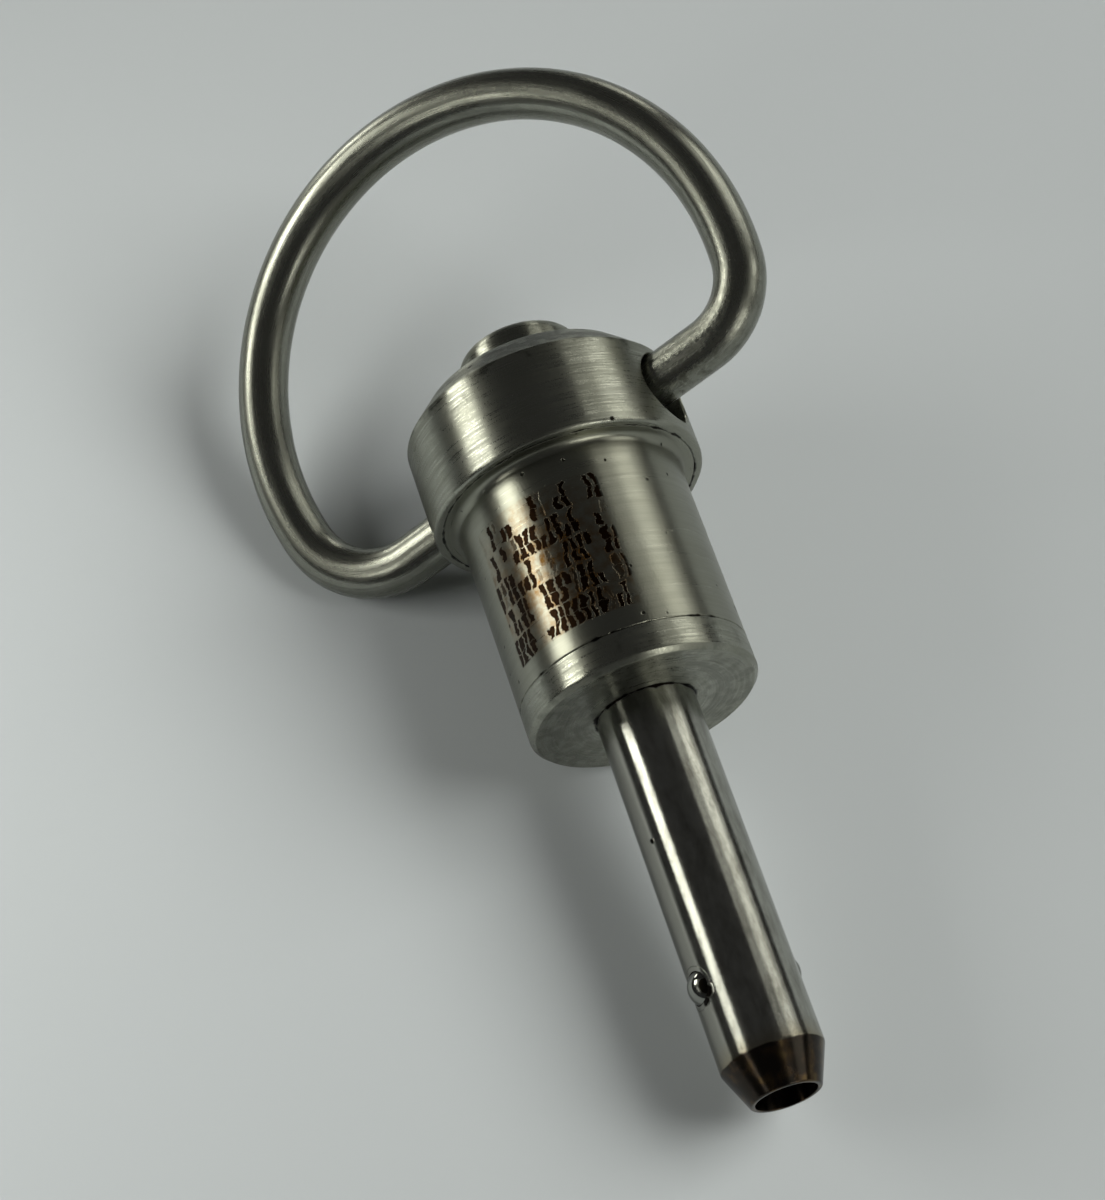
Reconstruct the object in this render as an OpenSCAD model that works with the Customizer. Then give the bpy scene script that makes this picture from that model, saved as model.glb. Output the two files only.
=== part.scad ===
// Ball-lock quick release pin with a push button and a wire pull ring.
// The pin is drawn upright in its own frame: Z runs up the pin axis, from the shoulder
// face at 0 to the button, and the nose points down. The ring hinges about X.
// lay_down() then sets the whole pin down on a table, as it comes to rest.

/* [Shank] */
// Diameter of the shank, which fills the hole that the pin locks into
shank_d = 6.35; // [5.5:0.05:7.5]
// Length of the full diameter, from the shoulder face to the start of the nose
shank_len = 23.25; // [22:0.25:60]
// Length of the tapered nose
nose_len = 2.4; // [1.5:0.1:4]
// Diameter of the nose at its open end
nose_d = 4.35; // [4.2:0.05:5]
// Diameter of the open hole in the nose
nose_hole_d = 3.8; // [3:0.1:3.9]
// Depth of the open hole in the nose
nose_hole_depth = 4.4; // [3.6:0.1:4.8]
// Diameter of the shank's head, which the handle clamps
head_d = 10; // [9.6:0.1:10.6]
// Thickness of the shank's head
head_h = 1.9; // [1.2:0.1:2.2]

/* [Balls] */
// Diameter of each locking ball
ball_d = 2.38; // [2:0.02:2.4]
// Distance of the ball centres from the end of the full diameter
ball_from_nose = 4.95; // [4.6:0.05:7]
// Angle of the ball holes about the pin axis, from the ring's hinge
ball_angle = 51.4; // [0:0.2:180]
// Diameter of the staked groove that closes each ball hole
stake_d = 2.5; // [2.4:0.05:3]
// Width of the staked groove
stake_w = 0.3; // [0.1:0.05:0.4]
// Depth of the staked groove
stake_depth = 0.18; // [0.1:0.02:0.25]

/* [Spindle] */
// Diameter of the spindle that holds the balls out
spindle_d = 2.54; // [2.4:0.02:2.7]
// How far each ball drops when the button is pressed home
ball_drop = 0.48; // [0.47:0.01:0.5]
// Length of the waist that takes the dropped balls
waist_len = 1.3; // [1.2:0.1:2]
// How far the spindle's end stays back inside the nose when the pin is locked
spindle_setback = 3.3; // [3:0.1:3.8]
// Bevel on the spindle's end
spindle_bevel = 0.3; // [0.1:0.05:0.5]

/* [Button] */
// Diameter of the button
button_d = 8.1; // [7.4:0.1:8.6]
// Height of the button over the collar's top face
button_rise = 3.5; // [3.3:0.1:5]
// Radius of the button's rounded edge
button_edge_r = 1; // [0.4:0.1:1.5]
// How far the button is pushed in to free the balls
travel = 2.5; // [2:0.1:2.6]
// Diameter of the flange that keeps the button in the collar
button_flange_d = 9.5; // [9.4:0.05:9.6]
// Thickness of the button's flange
button_flange_h = 1.2; // [0.8:0.1:1.4]
// Thickness of metal between the spindle's end and the button's top
button_crown = 1.6; // [1.2:0.1:2.5]

/* [Spring] */
// Diameter of the spring's wire
spring_wire_d = 0.7; // [0.4:0.05:0.9]
// Outside diameter of the spring
spring_d = 7.6; // [6:0.1:8]
// Number of turns
spring_turns = 9; // [5:1:12]
// Outside diameter of the washer under the spring
washer_d = 8.4; // [8.2:0.1:8.6]
// Thickness of the washer under the spring
washer_h = 0.5; // [0.3:0.1:1]

/* [Handle] */
// Diameter of the handle sleeve and of the base cap
sleeve_d = 14.7; // [14:0.1:16]
// Height of the base cap's band, below the sleeve
band_h = 2.17; // [1.5:0.05:3]
// Length that the base cap reaches up inside the sleeve
plug_h = 2.45; // [2:0.05:3]
// Diameter of the base cap's plug inside the sleeve
plug_d = 12.4; // [12:0.1:12.8]
// Bevel on the shoulder's outer edge
shoulder_bevel = 0.32; // [0.1:0.02:0.6]
// Bevel on both edges that meet at the joint between band and sleeve
joint_bevel = 0.1; // [0.04:0.02:0.25]
// Height of the sleeve's flange face over the shoulder face
flange_z = 15.35; // [13:0.05:22]
// Diameter of the sleeve's flange
flange_d = 16.6; // [16.4:0.05:16.9]
// Thickness of the sleeve's flange
flange_h = 0.72; // [0.6:0.02:0.8]
// Radius of the fillet under the sleeve's flange
flange_fillet_r = 0.55; // [0.2:0.05:0.8]
// Diameter of the sleeve's neck inside the collar
neck_d = 11.8; // [11.6:0.1:12]
// Height of the sleeve's neck over its flange
neck_h = 2.25; // [2.1:0.05:2.5]
// Diameter of the spring chamber in the sleeve
chamber_d = 8.8; // [8.7:0.1:9.2]

/* [Collar] */
// Diameter of the collar that carries the ring
collar_d = 17.8; // [17.4:0.1:20]
// Height of the collar's straight side
collar_side_h = 6.05; // [5.8:0.05:7]
// Height of the collar's top bevel
collar_bevel_h = 2; // [1:0.1:2.5]
// Width of the collar's top bevel
collar_bevel_w = 1.8; // [0.8:0.1:2.2]
// Bevel on the collar's lower edge
collar_rim_bevel = 0.28; // [0.1:0.02:0.4]
// Thickness of the lip round the button
lip_h = 2.25; // [1.8:0.05:2.3]
// Bevel round the button's hole
lip_bevel = 0.2; // [0.1:0.05:0.4]

/* [Ring] */
// Diameter of the ring's wire
wire_d = 3.35; // [2.5:0.05:3.35]
// Height of the ring's hinge over the shoulder face
hinge_z = 18.8; // [18.8:0.01:18.85]
// Diameter of the two holes that the ring's ends hang in
hinge_hole_d = 4.9; // [4.9:0.05:5]
// Radius of the ring's large bend, to the middle of the wire
ring_r = 17.7; // [16.5:0.1:30]
// Distance from the hinge to the centre of the large bend
ring_offset = 7.7; // [5:0.1:12]
// Radius of the bend beside the ring's first end, to the middle of the wire
first_bend_r = 4.7; // [3.5:0.1:7]
// Radius of the bend beside the ring's second end, to the middle of the wire
second_bend_r = 6.2; // [3.5:0.1:7]
// Distance of each wire end from the middle of the ring
wire_end_x = 6.6; // [6.5:0.05:7]
// Bevel on each wire end
wire_end_bevel = 0.25; // [0.1:0.05:0.5]
// How far the ring leans over to one side in its loose holes, in degrees
ring_lean = 4.8; // [0:0.1:4.8]
// How far the ring has slid towards its second end
ring_slide = 0.3; // [0:0.05:0.35]
// How far the ring stands away from the pin axis, in degrees
ring_swing = 10.7; // [0:0.1:30]

/* [Clearances] */
// Radial gap of a running fit
run_gap = 0.03; // [0.02:0.01:0.05]
// Radial gap of a seated fit
seat_gap = 0.02; // [0.01:0.01:0.04]
// Radial gap of the button in the collar's lip
button_gap = 0.08; // [0.04:0.01:0.1]
// Gap at each end of the button's travel
stop_gap = 0.3; // [0.1:0.05:0.4]

/* [Hidden] */
$fn = 96;
past = 1; // how far a cut runs past the metal

// Levels up the pin axis
nose_z = -shank_len;
tip_z = nose_z - nose_len;
ball_z = nose_z + ball_from_nose;
plug_top = band_h + plug_h;
head_top = plug_top - seat_gap;
head_z = head_top - head_h;
washer_z = plug_top + seat_gap;
washer_top = washer_z + washer_h;
flange_top = flange_z + flange_h;
neck_top = flange_top + neck_h;
rim_z = flange_z + collar_rim_bevel;
side_top = rim_z + collar_side_h;
collar_top = side_top + collar_bevel_h;
lip_z = collar_top - lip_h;
button_top = collar_top + button_rise;
flange_cap_z = lip_z - stop_gap;
flange_seat_z = flange_cap_z - button_flange_h;
stop_z = flange_seat_z - travel - stop_gap;
spindle_z = tip_z + spindle_setback;
spindle_top = button_top - button_crown;
spring_z = washer_top + seat_gap;
spring_top = flange_seat_z - seat_gap;

// The ramp that moves the balls: a cone on which each ball rests, so that the balls
// drop evenly while the button goes in
ramp_angle = atan(ball_drop / travel);
ball_r = ball_d / 2;
spindle_r = spindle_d / 2;
ball_out = spindle_r + (ball_r + run_gap / 2) * cos(ramp_angle);
ramp_top = ball_z - (ball_r + run_gap / 2) * sin(ramp_angle);
ramp_run = travel + stop_gap;
waist_r = spindle_r - ramp_run * tan(ramp_angle);
ramp_end = ramp_top + ramp_run;
waist_end = ramp_end + waist_len;

// The ring's outline, with its hinge at [0, 0]: the angle about the large bend's centre at
// which a small bend runs into it, and that small bend's centre
function meet_angle(bend_r) = round(1000 * asin((bend_r - ring_offset) / (ring_r - bend_r))) / 1000;
function bend_centre(bend_r) =
    [0, ring_offset] + (ring_r - bend_r) * [cos(meet_angle(bend_r)), sin(meet_angle(bend_r))];

// How the pin lies: the collar's rim and the shoulder's edge touch the table, and the pin
// is rolled until the bend at the ring's second end comes down on it
tilt = atan((collar_d - sleeve_d) / 2 / (rim_z - shoulder_bevel));
shoulder_height = sleeve_d / 2 * cos(tilt) - shoulder_bevel * sin(tilt);
function turn_x(a, v) = [v.x, cos(a) * v.y - sin(a) * v.z, sin(a) * v.y + cos(a) * v.z];
function turn_y(a, v) = [cos(a) * v.x + sin(a) * v.z, v.y, cos(a) * v.z - sin(a) * v.x];
function up(roll) = [cos(tilt) * sin(roll), -cos(tilt) * cos(roll), sin(tilt)];
function up_in_ring(roll) = turn_y(ring_lean, turn_x(-ring_swing, up(roll)));
low_bend = [-bend_centre(second_bend_r).x, 0, bend_centre(second_bend_r).y];
hinge_place = [-ring_slide, 0, hinge_z];
function bend_height(roll) =
    shoulder_height + up(roll) * hinge_place + up_in_ring(roll) * low_bend
    - second_bend_r * norm([up_in_ring(roll).x, up_in_ring(roll).z]) - wire_d / 2;
function settled_roll(low = 0, high = 80, steps = 30) =
    steps == 0 ? (low + high) / 2
    : bend_height((low + high) / 2) > 0 ? settled_roll((low + high) / 2, high, steps - 1)
    : settled_roll(low, (low + high) / 2, steps - 1);
roll = settled_roll();

// Sets the upright pin down on the table
module lay_down() {
    rotate([0, tilt - 90, 0]) rotate([0, 0, 90 - roll]) children();
}

// Puts a shape at one ball's hole, with Z pointing out of the shank
module at_ball(turn) {
    rotate([0, 0, turn]) translate([0, 0, ball_z]) rotate([0, 90, 0]) children();
}

// A straight turned length between two heights
module turned(d, low, high) {
    translate([0, 0, low]) cylinder(d = d, h = high - low);
}

// A turned length with bevels on its two outer edges
module bevelled(d, low, high, low_bevel, high_bevel) {
    rotate_extrude() polygon([
        [0, low], [d / 2 - low_bevel, low], [d / 2, low + low_bevel],
        [d / 2, high - high_bevel], [d / 2 - high_bevel, high], [0, high]
    ]);
}

// A hole that drops its ball into the bore but keeps it from falling out, and the groove
// that was struck round it
module ball_hole(turn) {
    at_ball(turn) {
        cylinder(r = ball_r + run_gap, h = ball_out);
        translate([0, 0, ball_out]) sphere(r = ball_r + run_gap);
        translate([0, 0, shank_d / 2 - stake_depth]) difference() {
            cylinder(d = stake_d + stake_w, h = stake_depth + past);
            translate([0, 0, -past]) cylinder(d = stake_d - stake_w, h = stake_depth + 3 * past);
        }
    }
}

module shank() {
    color("gray") difference() {
        union() {
            turned(shank_d, nose_z, head_z + head_h / 2);
            translate([0, 0, tip_z]) cylinder(d1 = nose_d, d2 = shank_d, h = nose_len);
            turned(head_d, head_z, head_top);
        }
        turned(spindle_d + 2 * run_gap, tip_z - past, head_top + past);
        turned(nose_hole_d, tip_z - past, tip_z + nose_hole_depth);
        for (side = [0, 180]) ball_hole(ball_angle + side);
    }
}

module base_cap() {
    color("silver") difference() {
        union() {
            bevelled(sleeve_d, 0, band_h, shoulder_bevel, joint_bevel);
            turned(plug_d, band_h / 2, plug_top);
        }
        turned(shank_d + 2 * seat_gap, -past, plug_top + past);
        turned(head_d + 2 * seat_gap, head_z - seat_gap, plug_top + past);
    }
}

module sleeve() {
    color("darkgray") difference() {
        union() {
            bevelled(sleeve_d, band_h, flange_top, joint_bevel, 0);
            turned(flange_d, flange_z, flange_top);
            turned(neck_d, flange_z, neck_top);
            rotate_extrude() difference() {
                translate([sleeve_d / 2 - joint_bevel, flange_z - flange_fillet_r])
                    square([flange_fillet_r + joint_bevel, flange_fillet_r + flange_h / 2]);
                translate([sleeve_d / 2 + flange_fillet_r, flange_z - flange_fillet_r])
                    circle(r = flange_fillet_r);
            }
        }
        turned(chamber_d, band_h, neck_top + past);
        turned(plug_d + 2 * seat_gap, band_h - past, plug_top + seat_gap);
        turned(button_flange_d + 2 * stop_gap, stop_z, neck_top + past);
    }
}

module collar() {
    color("silver") difference() {
        rotate_extrude() polygon([
            [0, flange_z], [collar_d / 2 - collar_rim_bevel, flange_z], [collar_d / 2, rim_z],
            [collar_d / 2, side_top], [collar_d / 2 - collar_bevel_w, collar_top], [0, collar_top]
        ]);
        turned(flange_d + 2 * seat_gap, flange_z - past, flange_top + seat_gap);
        turned(neck_d + 2 * seat_gap, flange_z - past, neck_top + seat_gap);
        turned(button_flange_d + 2 * stop_gap, flange_z, lip_z);
        turned(button_d + 2 * button_gap, flange_z, collar_top + past);
        translate([0, 0, collar_top - lip_bevel])
            cylinder(d1 = button_d + 2 * button_gap, d2 = button_d + 2 * button_gap + 4 * lip_bevel,
                     h = 2 * lip_bevel);
        translate([-collar_d, 0, hinge_z]) rotate([0, 90, 0]) cylinder(d = hinge_hole_d, h = 2 * collar_d);
    }
}

// Moves a shape in two steps, the second of them tiny, so that faces meet to the last digit
module place(at) {
    near = [for (v = at) round(v * 1000) / 1000];
    translate(near) translate(at - near) children();
}

// One end of the ring, drawn on the X side: the bend, the straight stub and its bevel
module ring_end(bend_r) {
    stub_len = bend_centre(bend_r).x - wire_end_x - wire_end_bevel;
    place(bend_centre(bend_r)) {
        rotate_extrude(start = -90, angle = 90 + meet_angle(bend_r))
            translate([bend_r, 0]) circle(d = wire_d);
        translate([0, -bend_r, 0]) rotate([0, -90, 0]) {
            cylinder(d = wire_d, h = stub_len);
            translate([0, 0, stub_len])
                cylinder(d1 = wire_d, d2 = wire_d - 2 * wire_end_bevel, h = wire_end_bevel);
        }
    }
}

module pull_ring() {
    color("dimgray") translate(hinge_place) rotate([ring_swing, 0, 0]) rotate([0, -ring_lean, 0])
        rotate([90, 0, 0]) {
            ring_end(first_bend_r);
            mirror([1, 0, 0]) ring_end(second_bend_r);
            translate([0, ring_offset, 0])
                rotate_extrude(start = meet_angle(first_bend_r),
                               angle = 180 - meet_angle(first_bend_r) - meet_angle(second_bend_r))
                    translate([ring_r, 0]) circle(d = wire_d);
        }
}

module button() {
    color("gray") difference() {
        union() {
            rotate_extrude() {
                translate([0, flange_seat_z]) square([button_d / 2, button_top - button_edge_r - flange_seat_z]);
                translate([0, flange_seat_z]) square([button_d / 2 - button_edge_r, button_top - flange_seat_z]);
                intersection() {
                    translate([button_d / 2 - button_edge_r, button_top - button_edge_r])
                        circle(r = button_edge_r);
                    translate([0, flange_seat_z]) square([button_d, button_top]);
                }
            }
            turned(button_flange_d, flange_seat_z, flange_cap_z);
        }
        turned(spindle_d + 2 * seat_gap, flange_seat_z - past, spindle_top + seat_gap);
    }
}

module spindle() {
    color("darkgray") rotate_extrude() polygon([
        [0, spindle_z], [spindle_r - spindle_bevel, spindle_z], [spindle_r, spindle_z + spindle_bevel],
        [spindle_r, ramp_top], [waist_r, ramp_end], [waist_r, waist_end],
        [spindle_r, waist_end + spindle_r - waist_r], [spindle_r, spindle_top - spindle_bevel],
        [spindle_r - spindle_bevel, spindle_top], [0, spindle_top]
    ]);
}

// Points round the wire's section at each step along the coil
wire_sides = 8;
steps_a_turn = 20;
coil_r = (spring_d - spring_wire_d) / 2;
coil_low = spring_z + spring_wire_d / 2;
coil_rise = spring_top - spring_z - spring_wire_d;
coil_steps = spring_turns * steps_a_turn;
function coil_point(i, j) =
    let (a = 360 * i / steps_a_turn, b = 360 * j / wire_sides,
         r = coil_r + spring_wire_d / 2 * cos(b))
    [r * cos(a), r * sin(a), coil_low + coil_rise * i / coil_steps + spring_wire_d / 2 * sin(b)];
function wire_point(i, j) = i * wire_sides + j % wire_sides;

module spring() {
    color("lightgray") polyhedron(
        points = [for (i = [0:coil_steps], j = [0:wire_sides - 1]) coil_point(i, j)],
        faces = concat(
            [[for (j = [wire_sides - 1:-1:0]) wire_point(0, j)]],
            [for (i = [0:coil_steps - 1], j = [0:wire_sides - 1])
                [wire_point(i, j), wire_point(i, j + 1), wire_point(i + 1, j + 1), wire_point(i + 1, j)]],
            [[for (j = [0:wire_sides - 1]) wire_point(coil_steps, j)]]
        )
    );
}

module spring_washer() {
    color("silver") difference() {
        turned(washer_d, washer_z, washer_top);
        turned(spindle_d + 2 * stop_gap, washer_z - past, washer_top + past);
    }
}

module ball(turn) {
    color("lightgray") at_ball(turn) translate([0, 0, ball_out]) sphere(d = ball_d);
}
module ball_1() { ball(ball_angle); }
module ball_2() { ball(ball_angle + 180); }

lay_down() shank();
lay_down() base_cap();
lay_down() sleeve();
lay_down() collar();
lay_down() pull_ring();
lay_down() button();
lay_down() spindle();
lay_down() spring();
lay_down() spring_washer();
lay_down() ball_1();
lay_down() ball_2();
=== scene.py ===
# %% [markdown]
# # A quick release pin in turned stainless steel
# A quick release pin is pushed through a hole and locks there: two steel balls stand out of
# its shank until the button is pressed. Nearly all of it is turned on a lathe, so nearly all
# of it can be made by spinning a drawn profile, and its looks come from how each face was cut.
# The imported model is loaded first. It says where every piece is, in metres.

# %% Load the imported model
import math

import bmesh
import bpy
from mathutils import Matrix, Vector


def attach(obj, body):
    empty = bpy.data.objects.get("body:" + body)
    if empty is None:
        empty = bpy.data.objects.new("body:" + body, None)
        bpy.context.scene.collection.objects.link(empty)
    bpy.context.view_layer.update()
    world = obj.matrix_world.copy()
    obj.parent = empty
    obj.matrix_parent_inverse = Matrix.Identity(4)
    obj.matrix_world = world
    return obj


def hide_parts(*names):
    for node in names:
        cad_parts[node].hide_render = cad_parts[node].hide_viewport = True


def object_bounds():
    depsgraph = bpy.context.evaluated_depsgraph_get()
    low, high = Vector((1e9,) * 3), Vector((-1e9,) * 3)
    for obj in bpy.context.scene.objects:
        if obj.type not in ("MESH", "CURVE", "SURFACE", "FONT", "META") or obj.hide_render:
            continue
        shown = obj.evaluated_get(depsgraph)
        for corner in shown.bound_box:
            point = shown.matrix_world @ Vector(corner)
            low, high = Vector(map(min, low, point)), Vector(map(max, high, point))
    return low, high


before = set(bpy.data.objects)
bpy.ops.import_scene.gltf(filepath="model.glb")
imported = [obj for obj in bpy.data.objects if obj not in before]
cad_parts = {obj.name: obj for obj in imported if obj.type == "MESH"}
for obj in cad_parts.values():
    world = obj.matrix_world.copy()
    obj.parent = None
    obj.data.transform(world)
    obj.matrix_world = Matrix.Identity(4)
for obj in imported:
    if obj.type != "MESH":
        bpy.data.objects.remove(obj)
cad_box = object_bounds()
print("CAD nodes:", ", ".join(sorted(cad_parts)))
print("CAD box in mm:", [[round(v * 1000, 2) for v in corner] for corner in cad_box])

# %% [markdown]
# ## Where the pin lies
# The pin is easiest to draw upright: Z up its axis, the shoulder face at 0, the nose below it
# and the button above, in millimetres. Heights and radii that pieces share come first.

# %% Heights and radii on the pin
COLLAR_R, SLEEVE_R, SHANK_R = 8.9, 7.35, 3.175
NOSE_Z, SHOULDER_Z, BAND_TOP, FLANGE_Z, RIM_Z = -23.25, 0.32, 2.17, 15.35, 15.63
SIDE_TOP, COLLAR_TOP = 21.68, 23.68
print("from the shoulder face to the collar's top:", COLLAR_TOP, "mm")

# %% [markdown]
# One matrix then lays the pin down as it rests on the table, on the shoulder's edge and the
# collar's rim. The slope between those two edges is its tilt, and it is rolled until the
# ring's low bend comes down. Every piece is drawn upright and gets this matrix at the end.

# %% The matrix that lays the pin down
TILT = math.degrees(math.atan2(COLLAR_R - SLEEVE_R, RIM_Z - SHOULDER_Z))
ROLL = 27.4812


def turn(degrees, axis):
    """A rotation by so many degrees."""
    return Matrix.Rotation(math.radians(degrees), 4, axis)


pin_turn = turn(TILT - 90, "Y") @ turn(90 - ROLL, "Z")
pin_place = pin_turn @ Matrix.Scale(0.001, 4)
table_z = cad_box[0].z
print(f"the pin dips {TILT:.2f} degrees; the table is at {table_z * 1000:.2f} mm")

# %% [markdown]
# ## The camera
# The view is from above the nose, through a lens of 23 degrees that stands 16 cm over the
# table. In an upright picture the height of the sensor sets the angle of view, so the sensor
# is fitted by its height.

# %% Camera
camera_data = bpy.data.cameras.new("camera")
camera_data.sensor_fit = "VERTICAL"
camera_data.sensor_height = 24
camera_data.lens = 57.8174
camera = bpy.data.objects.new("camera", camera_data)
bpy.context.scene.collection.objects.link(camera)
camera.location = (0.0878146, -0.0147862, 0.1521185)
camera.rotation_euler = [math.radians(a) for a in (32.2701118, 6.3997290, 73.1267544)]
bpy.context.scene.camera = camera
print("camera height over the table in mm:", round((camera.location.z - table_z) * 1000, 1))

# %% [markdown]
# ## Colours and nodes
# Colours are written as the hex values that a paint program shows. A shader wants linear
# light, so one function turns them. Another small function adds a node, sets its values,
# links it, and hands back its output, so each material reads as a short list from top to
# bottom. Where `to` names a socket of the main shader, the output goes straight there. Some
# nodes have sockets that share a name, and are reached by number: Map Range takes its value,
# low and high in, low and high out; Mix takes its amount at 0 and two colours at 6 and 7,
# and `**COLOURS` says that it blends colours.

# %% Two helpers for materials
def linear(hex_colour):
    """#rrggbb as linear red, green, blue and alpha."""
    levels = [int(hex_colour[i:i + 2], 16) / 255 for i in (1, 3, 5)]
    return [v / 12.92 if v <= 0.04045 else ((v + 0.055) / 1.055) ** 2.4 for v in levels] + [1]


def add(material, kind, inputs=None, out=0, to=None, **settings):
    """Adds one node. Each input is a value, a hex colour or another node's output."""
    tree = material.node_tree
    node = tree.nodes.new("ShaderNode" + kind)
    for name, value in settings.items():
        setattr(node, name, value)
    for socket, value in (inputs or {}).items():
        if isinstance(value, bpy.types.NodeSocket):
            tree.links.new(value, node.inputs[socket])
        else:
            node.inputs[socket].default_value = linear(value) if isinstance(value, str) else value
    if to:
        tree.links.new(node.outputs[out], tree.nodes["Principled BSDF"].inputs[to])
    return node.outputs[out]


COLOURS = {"out": 2, "data_type": "RGBA"}
print("#808080 is", round(linear("#808080")[0], 3), "in linear light")

# %% [markdown]
# ## Coordinates that a lathe would use
# Patterns on a turned piece follow the cut, not the table. Object coordinates are turned back
# upright and scaled, so that one unit is a millimetre on the pin. A second set is stretched:
# noise read through it changes slowly round the pin and quickly along it, so it becomes the
# fine lines that a cutting tool leaves, on the walls and on the end faces alike.

# %% Pin space and lathe space
def pin_space(material):
    """Object coordinates turned upright, in millimetres."""
    return add(material, "Mapping", {"Vector": add(material, "TexCoord", out="Object"),
                                     "Rotation": pin_turn.inverted().to_euler()[:],
                                     "Scale": (1000, 1000, 1000)})


def lathe_space(material, place, round_it=0.03):
    """Pin space with Z running along the tool's path and the way round slowed down."""
    across = add(material, "VectorMath", {0: place, 1: (1, 1, 0)}, operation="MULTIPLY")
    radius = add(material, "VectorMath", {0: across}, out="Value", operation="LENGTH")
    height = add(material, "SeparateXYZ", {0: place}, out="Z")
    path = add(material, "Math", {0: radius, 1: -0.8, 2: height}, operation="MULTIPLY_ADD")
    slow = add(material, "VectorMath", {0: across, "Scale": round_it}, operation="SCALE")
    return add(material, "VectorMath", {0: path, 1: (0, 0, 1), 2: slow}, operation="MULTIPLY_ADD")


print("the nose points along", [round(v, 3) for v in pin_turn @ Vector((0, 0, -1))])

# %% [markdown]
# A tool mark also steers the gloss: light spreads across the lines and hardly along them,
# which is why a turned wall shows straight bright bands. The shader calls this anisotropy and
# asks for the direction across the lines: up the pin on a wall, outwards on an end face.

# %% The direction across the tool marks
def across_the_lines(material, place):
    """A tangent that points up the pin on a wall and along the radius on an end face."""
    inward = add(material, "VectorMath", {0: place, 1: (-0.08, -0.08, 0), 2: (0, 0, 1)},
                 operation="MULTIPLY_ADD")
    laid = add(material, "Mapping", {"Vector": inward, "Rotation": pin_turn.to_euler()[:]},
               vector_type="VECTOR")
    return add(material, "VectorTransform", {0: laid}, to="Tangent", vector_type="VECTOR",
               convert_from="OBJECT", convert_to="WORLD")


print("an anisotropy of 0.85 spreads gloss", round(1 / (1 - 0.9 * 0.85), 1), "times as far across")

# %% [markdown]
# ## Bare stainless steel
# Every piece is steel. A metal's colour is the colour of its reflections, so the pieces share
# a warm light grey and differ in roughness and in the marks on them. A number that holds all
# over is set on the shader itself, because only then does it outlast an export.

# %% A bare metal
def new_metal(name, colour, roughness, anisotropy=0.0):
    """A metal with the default IOR."""
    material = bpy.data.materials.new(name)
    material.use_nodes = True
    shader = material.node_tree.nodes["Principled BSDF"].inputs
    shader["Base Color"].default_value = linear(colour)
    shader["Metallic"].default_value = 1
    shader["Roughness"].default_value = roughness
    shader["Anisotropic"].default_value = anisotropy
    print(f"{name}: colour {colour}, roughness {roughness}, anisotropy {anisotropy}")
    return material


# %% [markdown]
# Dents, pits and dirt are few, so each is placed by its own point on the pin. Real ones have
# ragged edges, so noise moves the place about by a tenth of a millimetre either way before
# the distance to each point is measured. The nearest point decides.

# %% Spots
RAGGED = 0.24


def nearest_of(material, distances):
    """The smallest of several outputs."""
    nearest = distances[0]
    for distance in distances[1:]:
        nearest = add(material, "Math", {0: nearest, 1: distance}, operation="MINIMUM")
    return nearest


def spots(material, place, points):
    """1 inside any of the spots (x, y, z, radius) in millimetres, 0 outside."""
    wobble = add(material, "TexNoise", {"Vector": place, "Scale": 2.5, "Detail": 3}, out="Color")
    ragged = add(material, "VectorMath", {0: wobble, 1: (RAGGED,) * 3, 2: place},
                 operation="MULTIPLY_ADD")
    edges = []
    for x, y, z, radius in points:
        centre = [v + RAGGED / 2 for v in (x, y, z)]
        away = add(material, "VectorMath", {0: ragged, 1: centre}, out="Value",
                   operation="DISTANCE")
        edges.append(add(material, "Math", {0: away, 1: radius}, operation="DIVIDE"))
    nearest = nearest_of(material, edges)
    return add(material, "MapRange", {0: nearest, 1: 0.7, 2: 1.1, 3: 1.0, 4: 0.0})


print("a spot's edge wanders by", RAGGED / 2, "mm")

# %% [markdown]
# Grime gathers where two pieces meet. Each seam is a ring, so it is given by its radius and
# height, and the mask is the distance from that ring, broken up by noise as real dirt is.

# %% Seams
def seams(material, place, rings):
    """1 near a ring (radius, z, width) in millimetres, with gaps, and 0 beyond it."""
    across = add(material, "VectorMath", {0: place, 1: (1, 1, 0)}, operation="MULTIPLY")
    radius = add(material, "VectorMath", {0: across}, out="Value", operation="LENGTH")
    height = add(material, "SeparateXYZ", {0: place}, out="Z")
    section = add(material, "CombineXYZ", {"X": radius, "Y": height})
    wobble = add(material, "TexNoise", {"Vector": place, "Scale": 1.1, "Detail": 4})
    edges = []
    for ring_radius, z, width in rings:
        away = add(material, "VectorMath", {0: section, 1: (ring_radius, z, 0)}, out="Value",
                   operation="DISTANCE")
        edges.append(add(material, "Math", {0: away, 1: width}, operation="DIVIDE"))
    nearest = nearest_of(material, edges)
    ragged = add(material, "Math", {0: wobble, 1: -4.0, 2: nearest}, operation="MULTIPLY_ADD")
    return add(material, "MapRange", {0: ragged, 1: -1.9, 2: -1.3, 3: 1.0, 4: 0.0})


SHOULDER_SEAM, BAND_SEAM = (3.2, -0.02, 0.2), (SLEEVE_R, BAND_TOP + 0.02, 0.12)
COLLAR_SEAM, BUTTON_SEAM = (8.35, FLANGE_Z, 0.12), (4.1, COLLAR_TOP - 0.08, 0.2)
ALL_SEAMS = [BAND_SEAM, SHOULDER_SEAM, COLLAR_SEAM, BUTTON_SEAM]
print("dirty seams at heights", [height for radius, height, width in ALL_SEAMS])

# %% [markdown]
# ## Turned stainless steel
# The collar, the base cap and the button come straight off the lathe. The tool leaves lines
# a few hundredths of a millimetre apart, which is too fine to show, so the lines here are
# about 0.15 mm apart. Smooth and torn lines lie side by side, which gives each bright band a
# sharp core and a wide dim skirt: to the eye, a silky brushed grey with straight highlights.

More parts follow.
